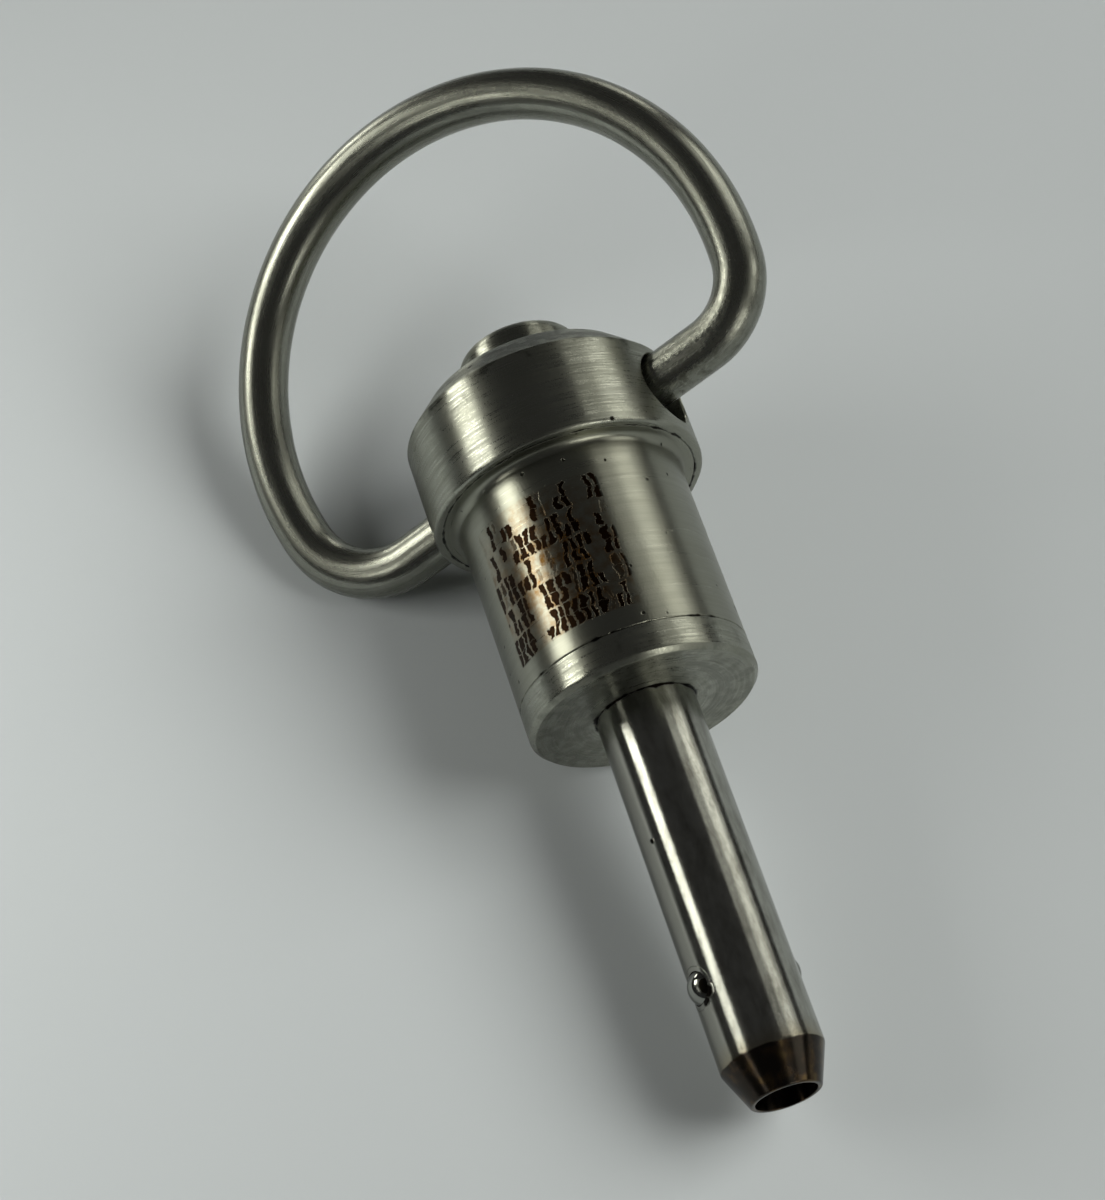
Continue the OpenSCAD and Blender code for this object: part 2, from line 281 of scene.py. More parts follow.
# %% The tool's lines
turned_steel = new_metal("stainless_turned", "#989991", 0.33, anisotropy=0.85)
mm = pin_space(turned_steel)
across_the_lines(turned_steel, mm)
lines, grain, patches = (
    add(turned_steel, "TexNoise", {"Vector": place, "Scale": scale, "Detail": detail,
                                   "Roughness": roughness})
    for place, scale, detail, roughness in (
        (lathe_space(turned_steel, mm), 6.5, 4, 0.75), (mm, 11.0, 2, 0.7), (mm, 0.45, 3, 0.55)))
texture = add(turned_steel, "Math", {0: grain, 1: 0.5, 2: lines}, operation="MULTIPLY_ADD")
add(turned_steel, "MapRange", {0: texture, 1: 0.55, 2: 1.0, 3: 0.2, 4: 0.52}, to="Roughness")
toned = add(turned_steel, "MapRange", {0: texture, 1: 0.55, 2: 0.95, 3: 0.0, 4: 1.0})
steel = add(turned_steel, "Mix", {0: toned, 6: "#AAABA1", 7: "#888980"}, **COLOURS)
dull = add(turned_steel, "Mix", {0: patches, 6: steel, 7: "#8A8B7E"}, **COLOURS)
print("lines", round(1 / 6.5, 2), "mm apart, grain", round(1 / 11, 2), "mm wide")

# %% [markdown]
# The collar's bevel is painted darker in ragged patches, and the shoulder's face a little darker:
# both are painted dark reflections, where the steel would mirror dark surroundings. The dents
# are the few that a dropped pin gets, pressed in by 0.06 mm with dirt in them.

# %% Painted dark reflections, dents and dirty seams
# Painted dark reflections: the collar's bevel and the shoulder's face are darkened
chamfer = seams(turned_steel, mm, [(8.0, 22.7, 1.9)])
chamfer_dark_reflection = add(turned_steel, "Math", {0: chamfer, 1: 0.55}, operation="MULTIPLY")
face = seams(turned_steel, mm, [(5.2, -0.6, 3.2)])
face_dark_reflection = add(turned_steel, "Math", {0: face, 1: 0.3}, operation="MULTIPLY")
painted_dark_reflections = add(turned_steel, "Math", {0: chamfer_dark_reflection, 1: face_dark_reflection}, operation="MAXIMUM")
steel = add(turned_steel, "Mix", {0: painted_dark_reflections, 6: dull, 7: "#33332D"}, **COLOURS)
dents = spots(turned_steel, mm, [
    (0.04, -7.96, 22.73, 0.2), (3.95, -5.72, 23.6, 0.2), (6.82, -5.72, 15.53, 0.16),
    (-4.6, -6.1, 22.4, 0.1), (-7.1, -4.2, 15.4, 0.2), (5.3, 5.9, 22.6, 0.15)])
grime = seams(turned_steel, mm, ALL_SEAMS)
dark = add(turned_steel, "Math", {0: dents, 1: grime}, operation="MAXIMUM")
add(turned_steel, "Mix", {0: dark, 6: steel, 7: "#1C1914"}, to="Base Color", **COLOURS)
cut_depth = add(turned_steel, "Bump", {"Height": texture, "Distance": 3.5e-6})
add(turned_steel, "Bump", {"Height": dents, "Distance": -6e-5, "Normal": cut_depth}, to="Normal")
print("stainless_turned has", len(turned_steel.node_tree.nodes), "nodes")

# %% [markdown]
# ## Ground stainless steel
# The shank has to slide through a close hole, so it is ground after turning. The wheel's
# fine lines run round it, so light is drawn out along the shank and stays narrow across it:
# long streaks. The lines are finer than a picture shows, and are drawn 0.14 mm apart. Years of
# use leave pores and faint stains drawn out along the shank. The sides in line with the balls
# are darker: partly smears, partly a painted darker reflection near the shank's edge in view.

# %% Ground lines, pores, stains and a painted dark edge
BALL_LINE = math.radians(228)
ground_steel = new_metal("stainless_ground", "#97988F", 0.23, anisotropy=0.95)
mm = pin_space(ground_steel)
across_the_lines(ground_steel, mm)
drawn_out = add(ground_steel, "VectorMath", {0: mm, 1: (1, 1, 0.35)}, operation="MULTIPLY")
lines, patches, grain, stains_and_dark_edge, hue = (
    add(ground_steel, "TexNoise", {"Vector": place, "Scale": scale, "Detail": detail,
                                   "Roughness": roughness})
    for place, scale, detail, roughness in (
        (lathe_space(ground_steel, mm), 7.0, 2, 0.6), (mm, 0.7, 3, 0.6), (mm, 9.0, 3, 0.7),
        (drawn_out, 1.3, 5, 0.7), (mm, 0.9, 3, 0.6)))
stains_and_dark_edge = add(ground_steel, "MapRange", {0: stains_and_dark_edge, 1: 0.42, 2: 0.72, 3: 0.1, 4: 0.65})
# Painted shade: the two sides in line with the balls are darkened, partly smears and partly a
# painted darker reflection near the shank's edge in view
to_balls = (math.cos(BALL_LINE), math.sin(BALL_LINE), 0)
in_line = add(ground_steel, "VectorMath", {0: mm, 1: to_balls}, out="Value",
              operation="DOT_PRODUCT")
in_line = add(ground_steel, "Math", {0: in_line}, operation="ABSOLUTE")
smear_and_dark_edge = add(ground_steel, "MapRange", {0: in_line, 1: 2.5, 2: 3.1, 3: 0.0, 4: 0.5})
stains_and_dark_edge = add(ground_steel, "Math", {0: stains_and_dark_edge, 1: smear_and_dark_edge}, operation="MAXIMUM")
steel = add(ground_steel, "Mix", {0: stains_and_dark_edge, 6: "#ABACA4", 7: "#5E5A50"}, **COLOURS)
print("ground lines", round(1 / 7, 2), "mm apart")

# %% [markdown]
# The nose was heated when it was closed up. Its oxide skin is nearly black, with brown and
# straw that change round it, and it ends at the taper's edge. A little straw runs on up the
# wall, where the metal was only warm.

# %% The heat-tinted nose
height = add(ground_steel, "SeparateXYZ", {0: mm}, out="Z")
uneven = add(ground_steel, "Math", {0: patches, 1: 0.25, 2: height}, operation="MULTIPLY_ADD")
oxide = add(ground_steel, "MapRange", {0: uneven, 1: NOSE_Z + 0.16, 2: NOSE_Z + 0.08,
                                       3: 0.0, 4: 1.0})
straw = add(ground_steel, "MapRange", {0: uneven, 1: NOSE_Z + 1.3, 2: NOSE_Z + 0.1,
                                       3: 0.0, 4: 0.55})
skin = add(ground_steel, "ValToRGB", {0: hue})
ramp = skin.node.color_ramp
ramp.elements[0].position, ramp.elements[0].color = 0.38, linear("#332F2A")
ramp.elements[1].position, ramp.elements[1].color = 0.66, linear("#5A4C36")
for position, colour in ((0.48, "#38322D"), (0.54, "#443A30"), (0.59, "#4A3D2E")):
    ramp.elements.new(position).color = linear(colour)
steel = add(ground_steel, "Mix", {0: straw, 6: steel, 7: "#887D62"}, **COLOURS)
nose = add(ground_steel, "Mix", {0: oxide, 6: steel, 7: skin}, **COLOURS)
print("the oxide ends at", NOSE_Z, "mm, in", len(ramp.elements), "tints")

# %% [markdown]
# Dirt stays in a nick and in the corner under the shoulder, and the shank is darker beside the
# ball, on the nose side of its hole. These dark places also raise the roughness.

# %% Dirt, the dark place by the ball, and depth on the shank
# Darker beside the ball, on the nose side of its hole, and in a nick
nick_and_ball_edge = spots(ground_steel, mm, [
    (-1.30, -2.90, -9.04, 0.2), (-1.1, -2.9, -18.9, 0.45), (-1.5, -2.7, -19.3, 0.35)])
grime = seams(ground_steel, mm, [(3.18, -0.02, 0.18)])
dark = add(ground_steel, "Math", {0: nick_and_ball_edge, 1: grime}, operation="MAXIMUM")
add(ground_steel, "Mix", {0: dark, 6: nose, 7: "#17130F"}, to="Base Color", **COLOURS)
worn = add(ground_steel, "Math", {0: grain, 1: 0.6, 2: patches}, operation="MULTIPLY_ADD")
dull = add(ground_steel, "MapRange", {0: worn, 1: 0.5, 2: 1.1, 3: 0.15, 4: 0.26})
burnt = add(ground_steel, "Math", {0: oxide, 1: 0.03, 2: dull}, operation="MULTIPLY_ADD")
add(ground_steel, "Math", {0: dark, 1: 0.3, 2: burnt}, to="Roughness", operation="MULTIPLY_ADD")
pores = add(ground_steel, "Bump", {"Height": grain, "Distance": 3e-6})
cut_depth = add(ground_steel, "Bump", {"Height": lines, "Distance": 2e-6, "Normal": pores})
add(ground_steel, "Bump", {"Height": nick_and_ball_edge, "Distance": 2e-5, "Normal": cut_depth}, to="Normal")
print("stainless_ground has", len(ground_steel.node_tree.nodes), "nodes")

# %% [markdown]
# ## Fine-turned stainless steel with a burnt-in mark
# The sleeve is turned finer than the collar and shows soft streaks round it, a few pits and
# an olive cast. A laser burnt a mark into it. To place that mark the sleeve is unrolled:
# across is the way round the pin in millimetres, and up is the height on the pin.

# %% Fine-turned stainless steel, unrolled
MARK_MIDDLE = math.radians(-88)
sleeve_steel = new_metal("stainless_fine_turned_laser_marked", "#8F9087", 0.3, anisotropy=0.7)
mm = pin_space(sleeve_steel)
across_the_lines(sleeve_steel, mm)
grain, patches, lines, blotch = (
    add(sleeve_steel, "TexNoise", {"Vector": place, "Scale": scale, "Detail": detail,
                                   "Roughness": roughness})
    for place, scale, detail, roughness in (
        (mm, 8.0, 3, 0.7), (mm, 0.5, 2, 0.5),
        (lathe_space(sleeve_steel, mm, 0.02), 5.5, 4, 0.75), (mm, 1.4, 4, 0.6)))
xyz = add(sleeve_steel, "SeparateXYZ", {0: mm}).node.outputs
angle = add(sleeve_steel, "Math", {0: xyz["Y"], 1: xyz["X"]}, operation="ARCTAN2")
way_round = add(sleeve_steel, "Math", {0: angle, 1: SLEEVE_R, 2: -MARK_MIDDLE * SLEEVE_R},
                operation="MULTIPLY_ADD")
flat = add(sleeve_steel, "CombineXYZ", {"X": way_round, "Y": xyz["Z"]})
print("once round the sleeve is", round(math.tau * SLEEVE_R, 1), "mm")

# %% [markdown]
# The mark here is plain rows of long and short bars that say nothing. A brick pattern on the
# unrolled sleeve draws them: each brick has a chance tint, and the lighter ones are burnt. A
# second pattern, half as high, drops some halves, which makes the short bars. Two noises shake
# the place first, because a laser's strokes on turned steel have ragged edges.

# %% The burnt-in rows of bars
MARK_LOW, ROW, ROWS, HALF_WIDTH = 3.45, 1.9, 5, 4.5
MARK_HIGH = MARK_LOW + ROW * ROWS
slow = add(sleeve_steel, "TexNoise", {"Vector": mm, "Scale": 1.3, "Detail": 1}, out="Color")
fast = add(sleeve_steel, "TexNoise", {"Vector": mm, "Scale": 6.0, "Detail": 3}, out="Color")
shaken = flat
for noise, reach in ((slow, (0.7, 0.5, 0)), (fast, (0.3, 0.3, 0))):
    shaken = add(sleeve_steel, "VectorMath", {0: noise, 1: reach, 2: shaken},
                 operation="MULTIPLY_ADD")
on_rows = add(sleeve_steel, "VectorMath", {0: shaken, 1: (0, -0.4 - MARK_LOW, 0)},
              operation="ADD")
stroke = {"Vector": on_rows, "Color1": "#FFFFFF", "Color2": "#000000", "Mortar": "#000000",
          "Scale": 1.0, "Brick Width": 0.52, "Mortar Smooth": 1.0}
bar, half = (add(sleeve_steel, "TexBrick", {**stroke, "Mortar Size": gap, "Row Height": high},
                 offset=0) for gap, high in ((0.16, ROW), (0.04, ROW / 2)))
half = add(sleeve_steel, "MapRange", {0: half, 1: 0.12, 2: 0.22, 3: 0.0, 4: 1.0})
bar = add(sleeve_steel, "Math", {0: bar, 1: half}, operation="MULTIPLY")
print("bars in", ROWS, "rows of", round(2 * HALF_WIDTH, 1), "mm")

# %% [markdown]
# A rectangle limits the mark. Inside it a strong bar is burnt black, and a weaker edge round
# it is only scorched.

# %% The limits of the mark
aside = add(sleeve_steel, "Math", {0: way_round}, operation="ABSOLUTE")
inside = add(sleeve_steel, "MapRange", {0: aside, 1: HALF_WIDTH, 2: HALF_WIDTH + 0.15,
                                        3: 1.0, 4: 0.0})
above = add(sleeve_steel, "MapRange", {0: xyz["Z"], 1: MARK_LOW, 2: MARK_LOW + 0.1,
                                       3: 0.0, 4: 1.0})
below = add(sleeve_steel, "MapRange", {0: xyz["Z"], 1: MARK_HIGH, 2: MARK_HIGH + 0.1,
                                       3: 1.0, 4: 0.0})
upright = add(sleeve_steel, "Math", {0: above, 1: below}, operation="MULTIPLY")
area = add(sleeve_steel, "Math", {0: inside, 1: upright}, operation="MULTIPLY")
burn = add(sleeve_steel, "MapRange", {0: bar, 1: 0.24, 2: 0.42, 3: 0.0, 4: 1.0})
burn = add(sleeve_steel, "Math", {0: burn, 1: area}, operation="MULTIPLY")
scorch = add(sleeve_steel, "MapRange", {0: bar, 1: 0.0, 2: 0.24, 3: 0.0, 4: 1.0})
scorch = add(sleeve_steel, "Math", {0: scorch, 1: area}, operation="MULTIPLY")
print("the mark ends", round(MARK_HIGH, 2), "mm above the shoulder")

# %% [markdown]
# The heat tinted the steel amber round the bars, in blotches and most near the mark's middle.
# Elsewhere the sleeve keeps its own two greys, one for smooth lines and one for torn ones.

# %% The heat round the bars, and the sleeve's own colour
HEAT_REACH = 6.5
from_middle = add(sleeve_steel, "VectorMath", {0: flat, 1: (0.3, 7.6, 0)}, out="Value",
                  operation="DISTANCE")
heat = add(sleeve_steel, "MapRange", {0: from_middle, 1: HEAT_REACH, 2: 2.5, 3: 0.15, 4: 1.0})
blotch = add(sleeve_steel, "MapRange", {0: blotch, 1: 0.35, 2: 0.6, 3: 0.1, 4: 1.0})
glow = add(sleeve_steel, "MapRange", {0: scorch, 1: 0.0, 2: 1.0, 3: 0.6, 4: 1.0})
for share in (blotch, glow, area):
    heat = add(sleeve_steel, "Math", {0: heat, 1: share}, operation="MULTIPLY")
toned = add(sleeve_steel, "MapRange", {0: lines, 1: 0.3, 2: 0.7, 3: 0.0, 4: 1.0})
colour = add(sleeve_steel, "Mix", {0: toned, 6: "#97988D", 7: "#86877D"}, **COLOURS)
embers = add(sleeve_steel, "Mix", {0: fast.node.outputs[0], 6: "#080605", 7: "#33200F"}, **COLOURS)
for share, over in ((patches, "#87877A"), (heat, "#6F4D19"), (burn, embers)):
    colour = add(sleeve_steel, "Mix", {0: share, 6: colour, 7: over}, **COLOURS)
print("the heat reaches", HEAT_REACH, "mm from the mark's middle")

# %% [markdown]
# Pits lie all over, and the few chips are placed one by one. Both are dark and sunken, and so
# are the bars, which are also rougher than the steel.

# %% Pits, chips and grime on the sleeve
pits = add(sleeve_steel, "TexVoronoi", {"Vector": mm, "Scale": 0.62}, out="Distance")
pits = add(sleeve_steel, "MapRange", {0: pits, 1: 0.055, 2: 0.09, 3: 0.8, 4: 0.0})
chips = spots(sleeve_steel, mm, [
    (7.17, 1.6, 3.83, 0.25), (7.31, -0.77, 15.1, 0.14), (3.21, -6.61, 14.26, 0.1),
    (5.22, -5.18, 13.57, 0.09), (-4.55, -5.99, 15.35, 0.16), (7.2, -1.3, 12.7, 0.12)])
grime = seams(sleeve_steel, mm, [(SLEEVE_R, BAND_TOP - 0.02, 0.12), COLLAR_SEAM])
flaws = pits
for more in (chips, grime):
    flaws = add(sleeve_steel, "Math", {0: flaws, 1: more}, operation="MAXIMUM")
add(sleeve_steel, "Mix", {0: flaws, 6: colour, 7: "#24211B"}, to="Base Color", **COLOURS)
gloss = add(sleeve_steel, "MapRange", {0: lines, 1: 0.3, 2: 0.7, 3: 0.26, 4: 0.35})
add(sleeve_steel, "Math", {0: burn, 1: 0.15, 2: gloss}, to="Roughness", operation="MULTIPLY_ADD")
relief = add(sleeve_steel, "Bump", {"Height": grain, "Distance": 5e-6})
relief = add(sleeve_steel, "Bump", {"Height": lines, "Distance": 2e-6, "Normal": relief})
hollow = add(sleeve_steel, "Math", {0: burn, 1: flaws}, operation="MAXIMUM")
add(sleeve_steel, "Bump", {"Height": hollow, "Distance": -3e-5, "Normal": relief}, to="Normal")
print(sleeve_steel.name, "has", len(sleeve_steel.node_tree.nodes), "nodes")

# %% [markdown]
# ## Drawn stainless wire
# The ring's wire was pulled through a die, which leaves lengthwise lines and a satin gloss,
# and bending it scuffed it. The pattern has to run along a bent wire, so the ring
# carries an attribute with three lengths in millimetres: out from the wire's middle line,
# sideways from it, and along it. Noise stretched along the third gives the die's lines.

# %% Drawn stainless wire
drawn_steel = new_metal("stainless_drawn_wire", "#8B8C83", 0.28)
along = add(drawn_steel, "Attribute", out="Vector", attribute_name="along_wire")
drawn = add(drawn_steel, "VectorMath", {0: along, 1: (1, 1, 0.05)}, operation="MULTIPLY")
lines, grain, patches, scuffs = (
    add(drawn_steel, "TexNoise", {"Vector": place, "Scale": scale, "Detail": detail,
                                  "Roughness": roughness})
    for place, scale, detail, roughness in ((drawn, 3.2, 4, 0.7), (along, 6.0, 3, 0.75),
                                            (along, 0.35, 3, 0.6), (along, 1.6, 5, 0.75)))
streak = add(drawn_steel, "MapRange", {0: lines, 1: 0.35, 2: 0.65, 3: 0.0, 4: 1.0})
tone = add(drawn_steel, "Mix", {0: streak, 6: "#A2A399", 7: "#80817A"}, **COLOURS)
tone = add(drawn_steel, "Mix", {0: patches, 6: tone, 7: "#7D7E73"}, **COLOURS)
gloss = add(drawn_steel, "MapRange", {0: lines, 1: 0.35, 2: 0.65, 3: 0.2, 4: 0.34})
relief = add(drawn_steel, "Bump", {"Height": lines, "Distance": 1.1e-5})
relief = add(drawn_steel, "Bump", {"Height": grain, "Distance": 7e-6, "Normal": relief})
print("die lines", round(1 / 3.2, 2), "mm apart and", round(1 / 3.2 / 0.05), "mm long")

# %% [markdown]
# Scuffs thin out from the wire's start, in the collar, and are faint after 16 mm. They are
# darker, rougher and a little lower than the wire.

# %% Scuffs near the wire's start
length_on = add(drawn_steel, "SeparateXYZ", {0: along}, out="Z")
near_end = add(drawn_steel, "MapRange", {0: length_on, 1: 16.0, 2: 5.0, 3: 0.15, 4: 0.8})
scuffs = add(drawn_steel, "MapRange", {0: scuffs, 1: 0.48, 2: 0.66, 3: 0.0, 4: 1.0})
worn = add(drawn_steel, "Math", {0: scuffs, 1: near_end}, operation="MULTIPLY")
add(drawn_steel, "Mix", {0: worn, 6: tone, 7: "#5C5C53"}, to="Base Color", **COLOURS)
add(drawn_steel, "Math", {0: worn, 1: 0.12, 2: gloss}, to="Roughness", operation="MULTIPLY_ADD")
add(drawn_steel, "Bump", {"Height": worn, "Distance": -1.1e-5, "Normal": relief}, to="Normal")
print("stainless_drawn_wire has", len(drawn_steel.node_tree.nodes), "nodes")

# %% [markdown]
# ## The small inner metals
# The balls are bearing balls: hardened, lapped and bright as a mirror, with a breath of haze,
# and one is darker and rougher at the side where it meets the edge of its hole. The spring's
# wire, the spindle and the washer are seen in part or not at all, and get plain drawn, ground
# and stamped finishes of their own.

# %% Lapped ball steel, spring wire, spindle and washer
lapped_steel = new_metal("ball_steel_lapped", "#8A8B85", 0.08)
mm = pin_space(lapped_steel)
haze = add(lapped_steel, "TexNoise", {"Vector": mm, "Scale": 2.0, "Detail": 4})
haze = add(lapped_steel, "MapRange", {0: haze, 1: 0.3, 2: 0.7, 3: 0.06, 4: 0.14})
# Darker at one ball's side, where it meets the edge of its hole
dark_at_hole_edge = spots(lapped_steel, mm, [(-1.1, -2.95, -18.55, 0.62)])
add(lapped_steel, "Mix", {0: dark_at_hole_edge, 6: "#8A8B85", 7: "#1C1915"}, to="Base Color", **COLOURS)
add(lapped_steel, "Math", {0: dark_at_hole_edge, 1: 0.35, 2: haze}, to="Roughness", operation="MULTIPLY_ADD")

inner_metals = {}
for node, name, colour, low, high, scale in (
        ("spindle", "stainless_ground_rod", "#A19F99", 0.12, 0.25, 5.0),
        ("spring", "spring_wire_drawn", "#A8A69F", 0.2, 0.35, 3.0),
        ("spring_washer", "stainless_stamped", "#AEACA5", 0.25, 0.4, 1.5)):
    metal = inner_metals[node] = new_metal(name, colour, high)
    lines = add(metal, "TexNoise", {"Vector": lathe_space(metal, pin_space(metal)),
                                    "Scale": scale, "Detail": 3})
    add(metal, "MapRange", {0: lines, 1: 0.3, 2: 0.7, 3: low, 4: high}, to="Roughness")
    add(metal, "Bump", {"Height": lines, "Distance": 1.5e-6}, to="Normal")
    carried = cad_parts[node].data.materials
    carried.clear()
    carried.append(metal)
print("CAD nodes that stay:", ", ".join(inner_metals))

# %% [markdown]
# ## Turned pieces
# A lathe makes a piece by moving one tool along a profile while the piece spins. Blender can
# do the same: a few points in a chain are the profile, and the spin operator sweeps them
# round. Corners are then bevelled ring by ring, because no turned edge is truly sharp, and it
# is the thin bright line along an edge that makes metal look like metal.

# %% Spin a profile, then round its rings
def turned(profile, closed=True, steps=192):
    """A bmesh spun from a chain of (radius, height) points in millimetres."""
    bm = bmesh.new()
    points = [bm.verts.new((radius, 0, height)) for radius, height in profile]
    pairs = zip(points, points[1:] + points[:1] if closed else points[1:])
    lines = [bm.edges.new(pair) for pair in pairs]
    bmesh.ops.spin(bm, geom=points + lines, cent=(0, 0, 0), axis=(0, 0, 1), dvec=(0, 0, 0),
                   angle=math.tau, steps=steps, use_merge=True, use_duplicate=False)
    bmesh.ops.remove_doubles(bm, verts=bm.verts, dist=1e-5)
    bmesh.ops.recalc_face_normals(bm, faces=bm.faces)
    return bm


def round_rings(bm, *rings):
    """Bevels rings of edges, each given by its radius, height, width and number of steps."""
    for radius, height, width, segments in rings:
        ring = [e for e in bm.edges if all(
            abs(math.hypot(v.co.x, v.co.y) - radius) < 2e-3 and abs(v.co.z - height) < 2e-3
            for v in e.verts)]
        bmesh.ops.bevel(bm, geom=ring, offset=width, offset_type="OFFSET", affect="EDGES",
                        segments=segments, profile=0.5, material=-1)


print("flats on the widest wall are", round(math.tau * COLLAR_R / 192, 2), "mm wide")

# %% [markdown]
# ## From bmesh to finished piece
# A finished piece is a mesh at the origin with its place in its vertices. It is shaded smooth
# with sharp edges marked by their angle, and its normals are weighted by face area, so that
# a straight wall shades as straight right up to its small bevels. That weighting ignores
# areas under a square millimetre counted in metres, so it is done while one unit is still a
# millimetre, and the result is kept in the mesh before the piece is laid down.

# %% Make the object and set it on its body
def finish_piece(source, name, body, material, nodes, sharp=32):
    """Weighs the normals, lays the mesh down, sets it on its body and hides the CAD nodes it
    replaces.
    """
    upright = bpy.data.objects.new(name + "_upright", bpy.data.meshes.new(name + "_upright"))
    bpy.context.scene.collection.objects.link(upright)
    source.to_mesh(upright.data)
    source.free()
    upright.data.shade_smooth()
    upright.data.set_sharp_from_angle(angle=math.radians(sharp))
    weights = upright.modifiers.new("weighted normals", "WEIGHTED_NORMAL")
    weights.keep_sharp = True
    mesh = bpy.data.meshes.new_from_object(
        upright.evaluated_get(bpy.context.evaluated_depsgraph_get()))
    drawn = upright.data
    bpy.data.objects.remove(upright)
    bpy.data.meshes.remove(drawn)
    mesh.name = name
    mesh.transform(pin_place)
    mesh.materials.append(material)
    piece = bpy.data.objects.new(name, mesh)
    bpy.context.scene.collection.objects.link(piece)
    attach(piece, body)
    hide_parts(*nodes)
    print(f"{name}: {len(mesh.polygons)} faces")


print("pieces to draw:", len(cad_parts) - len(inner_metals))

# %% [markdown]
# Holes are cut by taking one solid away from another. The exact solver copes with walls that
# nearly touch, and the two helper objects are removed once the cut is in a new bmesh.

# %% Cut one solid out of another
def cut(bm, cutter):
    """One bmesh with another cut out of it."""
    whole, tool = (bpy.data.objects.new(n, bpy.data.meshes.new(n)) for n in ("whole", "tool"))
    for helper, source in ((whole, bm), (tool, cutter)):
        source.to_mesh(helper.data)
        source.free()
        bpy.context.scene.collection.objects.link(helper)
    hold = whole.modifiers.new("cut", "BOOLEAN")
    hold.operation, hold.solver, hold.object = "DIFFERENCE", "EXACT", tool
    left = bmesh.new()
    left.from_object(whole, bpy.context.evaluated_depsgraph_get())
    for helper in (whole, tool):
        spare = helper.data
        bpy.data.objects.remove(helper)
        bpy.data.meshes.remove(spare)
    return left


# %% [markdown]
# ## The shank
# The shank is 6.35 mm thick and tapers at the nose to a thin rim round an open bore. Its
# profile runs down the outside and back up the inside. A few extra rings near the balls keep
# the long wall faces away from the holes, so that the holes don't disturb its smooth shading.

# %% Shank profile
TIP_Z, BALL_Z, BALL_R, BALL_OUT = -25.65, -18.3, 1.19, 2.4534
shank = turned([(1.3, 4.6), (5, 4.6), (5, 2.7), (SHANK_R, 2.7), (SHANK_R, -0.5),
                *[(SHANK_R, BALL_Z + rise) for rise in (2.4, 2.0, 1.7, -1.7, -2.0, -2.4)],
                (SHANK_R, NOSE_Z), (2.175, TIP_Z), (1.9, TIP_Z), (1.9, -21.25), (1.3, -21.25)])
round_rings(shank, (SHANK_R, NOSE_Z, 0.1, 4), (2.175, TIP_Z, 0.1, 4), (1.9, TIP_Z, 0.06, 4))
print("shank profile spun to", len(shank.faces), "faces")

# %% [markdown]
# ## Ball holes
# Each ball sits in a drilled hole that ends in a narrowed mouth. The mouth is made with a
# hollow punch: it strikes a ring round the hole and pushes a lip over the ball. The drilled
# hole is half a sphere on a tube. The punched ring is a small torus, and each of its points
# is lifted to the height of the round wall under it, so the groove is equally deep all round.

# %% Cut the ball holes and the punched rings
def at_ball(degrees):
    """The matrix of one ball hole, with Z pointing out of the shank."""
    return turn(degrees, "Z") @ Matrix.Translation((0, 0, BALL_Z)) @ turn(90, "Y")


def drilled_hole(place):
    tool = bmesh.new()
    bmesh.ops.create_uvsphere(tool, u_segments=64, v_segments=32, radius=BALL_R + 0.05)
    bmesh.ops.bisect_plane(tool, geom=tool.verts[:] + tool.edges[:] + tool.faces[:],
                           plane_co=(0, 0, 0), plane_no=(0, 0, 1), clear_inner=True)
    rim = [e for e in tool.edges if e.is_boundary]
    wall = bmesh.ops.extrude_edge_only(tool, edges=rim)["geom"]
    bmesh.ops.translate(tool, verts=[g for g in wall if isinstance(g, bmesh.types.BMVert)],
                        vec=(0, 0, -BALL_OUT))
    bmesh.ops.holes_fill(tool, edges=[e for e in tool.edges if e.is_boundary], sides=0)
    bmesh.ops.recalc_face_normals(tool, faces=tool.faces)
    tool.transform(place @ Matrix.Translation((0, 0, BALL_OUT)))
    return tool


def punched_ring(place, radius=1.31, depth=0.03):
    tool = bmesh.new()
    bmesh.ops.create_circle(tool, radius=depth, segments=16,
                            matrix=Matrix.Translation((radius, 0, 0)) @ turn(90, "X"))
    bmesh.ops.spin(tool, geom=tool.verts[:] + tool.edges[:], cent=(0, 0, 0), axis=(0, 0, 1),
                   dvec=(0, 0, 0), angle=math.tau, steps=72, use_merge=True, use_duplicate=False)
    bmesh.ops.remove_doubles(tool, verts=tool.verts, dist=1e-5)
    bmesh.ops.recalc_face_normals(tool, faces=tool.faces)
    for v in tool.verts:
        v.co.z += math.sqrt(SHANK_R ** 2 - v.co.y ** 2)
    tool.transform(place)
    return tool


BALL_ANGLES = {"ball_1": 51.4, "ball_2": 231.4}
for degrees in BALL_ANGLES.values():
    shank = cut(shank, drilled_hole(at_ball(degrees)))
    shank = cut(shank, punched_ring(at_ball(degrees)))
finish_piece(shank, "ground_shank", "handle", ground_steel, ["shank"])

# %% [markdown]
# The balls are plain spheres with 0.05 mm of play all round. Each is a piece on a body of
# its own, because the balls move in and out.

# %% Balls
for node, degrees in BALL_ANGLES.items():
    ball = bmesh.new()
    bmesh.ops.create_uvsphere(ball, u_segments=48, v_segments=24, radius=BALL_R,
                              matrix=at_ball(degrees) @ Matrix.Translation((0, 0, BALL_OUT)))
    finish_piece(ball, "locking_" + node, node, lapped_steel, [node])

# %% [markdown]
# ## Base cap and sleeve
# The base cap is the bright band at the foot of the handle. Its outer edge is a flat bevel
# with two small breaks, which shows as a pair of thin light lines. The sleeve meets it with a
# fine groove, and runs up into a flange with a fillet, which the collar's rim hides in part.

